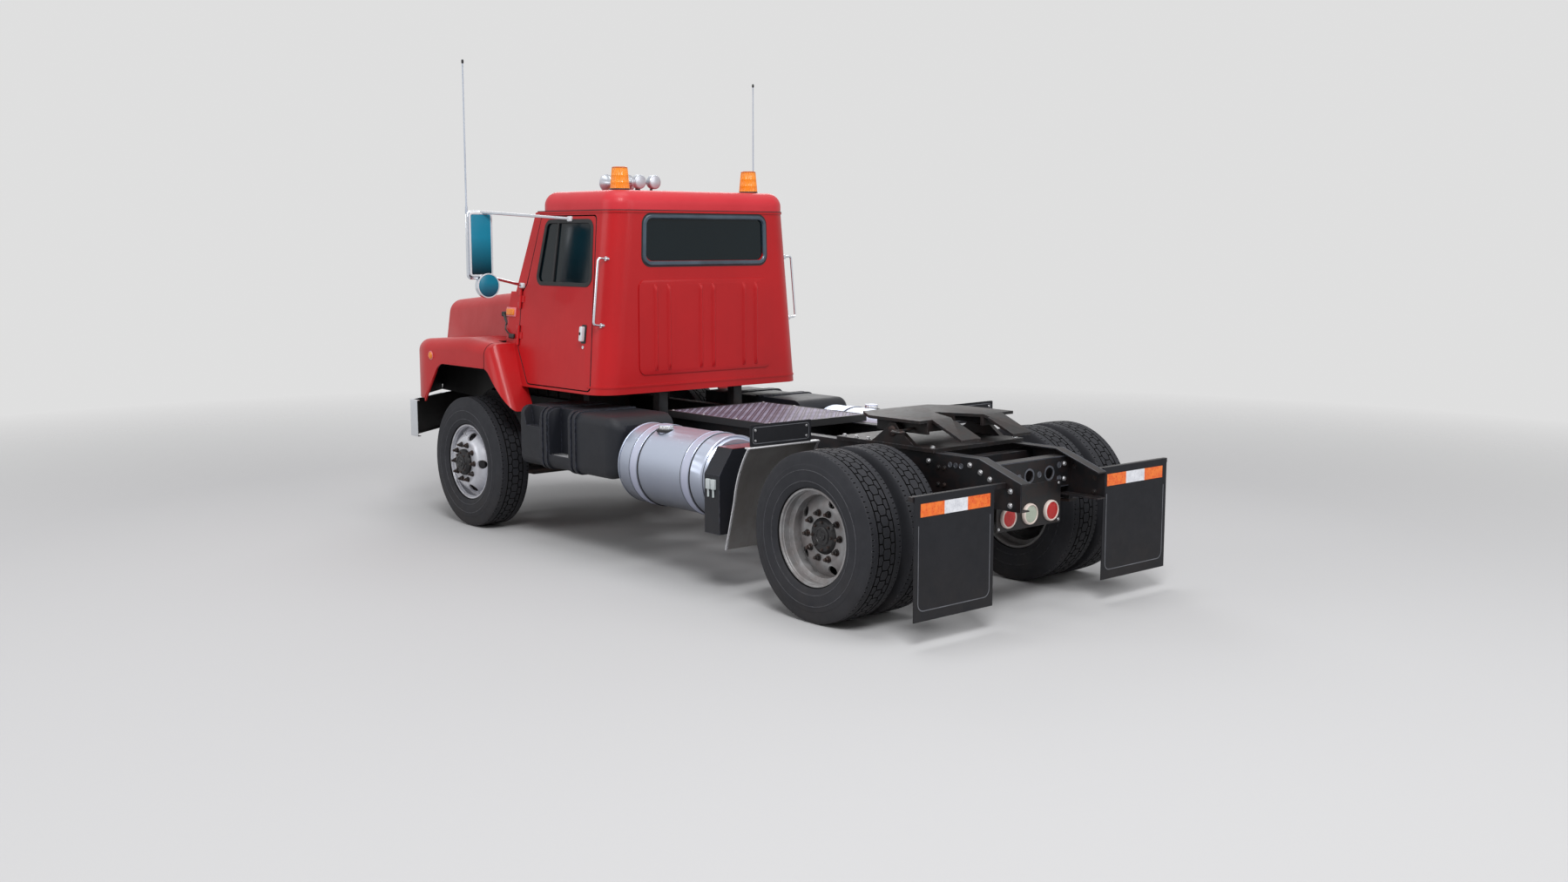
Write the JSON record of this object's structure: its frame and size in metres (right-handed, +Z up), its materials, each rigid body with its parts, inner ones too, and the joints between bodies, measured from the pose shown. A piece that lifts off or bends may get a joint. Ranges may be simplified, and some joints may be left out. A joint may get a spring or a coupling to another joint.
{
  "type": "semi truck tractor unit",
  "caption": "Short conventional road tractor with a day cab, tilting hood, twin rear tyres, coupling plate, round side tanks, step boxes and rear mud flaps.",
  "frame": {"origin": "centre of the bounding box at ground level, under the tyres", "axes": "+X to the truck's left, +Y to the rear along the frame, +Z up"},
  "size_m": [2.812, 6.4, 3.6],
  "materials": {
    "frame_black": "semi_gloss",
    "spring_steel": "matte",
    "cast_grey": "matte",
    "shaft_steel": "satin",
    "fin_aluminium": "satin",
    "bright_chrome": "polished",
    "body_red": "gloss",
    "tinted_glass": "gloss",
    "seat_fabric": "matte",
    "cab_plastic": "matte",
    "amber_lens": "gloss",
    "lamp_lens": "gloss",
    "red_lens": "gloss",
    "box_plastic": "matte",
    "tank_aluminium": "satin",
    "guard_steel": "satin",
    "flap_rubber": "matte",
    "tread_plate": "satin",
    "coupling_steel": "satin",
    "mirror_shell": "gloss",
    "wheel_silver": "satin",
    "wheel_grey": "matte",
    "hub_black": "semi_gloss",
    "tyre_rubber": "matte"
  },
  "bodies": {
    "chassis": {"frame_rails": "frame_black", "crossmembers": "frame_black", "front_bumper": "bright_chrome", "front_axle_beam": "frame_black", "rear_axle_housing": "frame_black", "leaf_springs": "spring_steel", "engine_block": "cast_grey", "drive_line": "shaft_steel", "radiator": "fin_aluminium", "cab_shell": "body_red", "cab_glass": "tinted_glass", "cab_roof": "body_red", "seats": "seat_fabric", "dashboard": "cab_plastic", "beacons": "amber_lens", "air_horns": "bright_chrome", "grab_handles": "bright_chrome", "hood_hinges": "frame_black", "side_boxes": "box_plastic", "fuel_tanks": "tank_aluminium", "quarter_fenders": "guard_steel", "mud_flaps": "flap_rubber", "flap_hangers": "frame_black", "rear_lamp_panel": "frame_black", "rear_lamps": "red_lens", "deck_plate": "tread_plate", "fifth_wheel_base": "frame_black"},
    "hood": {"hood_shell": "body_red", "grille": "bright_chrome", "headlamps": "lamp_lens"},
    "left_door": {"door_left": "body_red", "door_glass_left": "tinted_glass", "mirror_left": "mirror_shell"},
    "right_door": {"door_right": "body_red", "door_glass_right": "tinted_glass", "mirror_right": "mirror_shell"},
    "steering_left": {"knuckle_left": "frame_black"},
    "steering_right": {"knuckle_right": "frame_black"},
    "track_rod": {"tie_rod": "frame_black"},
    "front_left_wheel": {"wheel_front_left": "wheel_silver", "hub_front_left": "hub_black", "tyre_front_left": "tyre_rubber"},
    "front_right_wheel": {"wheel_front_right": "wheel_silver", "hub_front_right": "hub_black", "tyre_front_right": "tyre_rubber"},
    "rear_left_wheels": {"wheels_rear_left": "wheel_grey", "hub_rear_left": "cast_grey", "tyres_rear_left": "tyre_rubber"},
    "rear_right_wheels": {"wheels_rear_right": "wheel_grey", "hub_rear_right": "cast_grey", "tyres_rear_right": "tyre_rubber"},
    "fifth_wheel": {"fifth_wheel_head": "coupling_steel"}
  },
  "joints": [
    {"name": "hood_tilt", "type": "hinge", "parent": "chassis", "child": "hood", "pos_m": [0, -3.09, 1.028], "axis": [1, 0, 0], "range_deg": [0, 65]},
    {"name": "left_door_swing", "type": "hinge", "parent": "chassis", "child": "left_door", "pos_m": [0.93115, -1.4145, 1.66082], "axis": [0.1025, 0, -0.9947], "range_deg": [0, 60]},
    {"name": "right_door_swing", "type": "hinge", "parent": "chassis", "child": "right_door", "pos_m": [-0.93115, -1.4145, 1.66082], "axis": [0.1025, 0, 0.9947], "range_deg": [0, 60]},
    {"name": "left_steer", "type": "hinge", "parent": "chassis", "child": "steering_left", "pos_m": [0.86, -1.896, 0.52], "axis": [0, 0, 1], "range_deg": [-35, 35]},
    {"name": "right_steer", "type": "hinge", "parent": "chassis", "child": "steering_right", "pos_m": [-0.86, -1.896, 0.52], "axis": [0, 0, 1], "range_deg": [-35, 35]},
    {"name": "track_rod_pivot", "type": "hinge", "parent": "steering_left", "child": "track_rod", "pos_m": [0.86, -1.706, 0.42], "axis": [0, 0, 1], "range_deg": [-35, 35]},
    {"name": "front_left_spin", "type": "hinge", "parent": "steering_left", "child": "front_left_wheel", "pos_m": [1.015, -1.896, 0.52], "axis": [1, 0, 0], "continuous": true},
    {"name": "front_right_spin", "type": "hinge", "parent": "steering_right", "child": "front_right_wheel", "pos_m": [-1.015, -1.896, 0.52], "axis": [1, 0, 0], "continuous": true},
    {"name": "rear_left_spin", "type": "hinge", "parent": "chassis", "child": "rear_left_wheels", "pos_m": [0.9125, 2.27, 0.52], "axis": [1, 0, 0], "continuous": true},
    {"name": "rear_right_spin", "type": "hinge", "parent": "chassis", "child": "rear_right_wheels", "pos_m": [-0.9125, 2.27, 0.52], "axis": [1, 0, 0], "continuous": true},
    {"name": "fifth_wheel_pitch", "type": "hinge", "parent": "chassis", "child": "fifth_wheel", "pos_m": [0, 2.163, 1.09], "axis": [1, 0, 0], "range_deg": [-6, 12]}
  ],
  "couplings": [
    {"joint": "right_steer", "follows": "left_steer", "ratio": 1},
    {"joint": "track_rod_pivot", "follows": "left_steer", "ratio": -1}
  ]
}
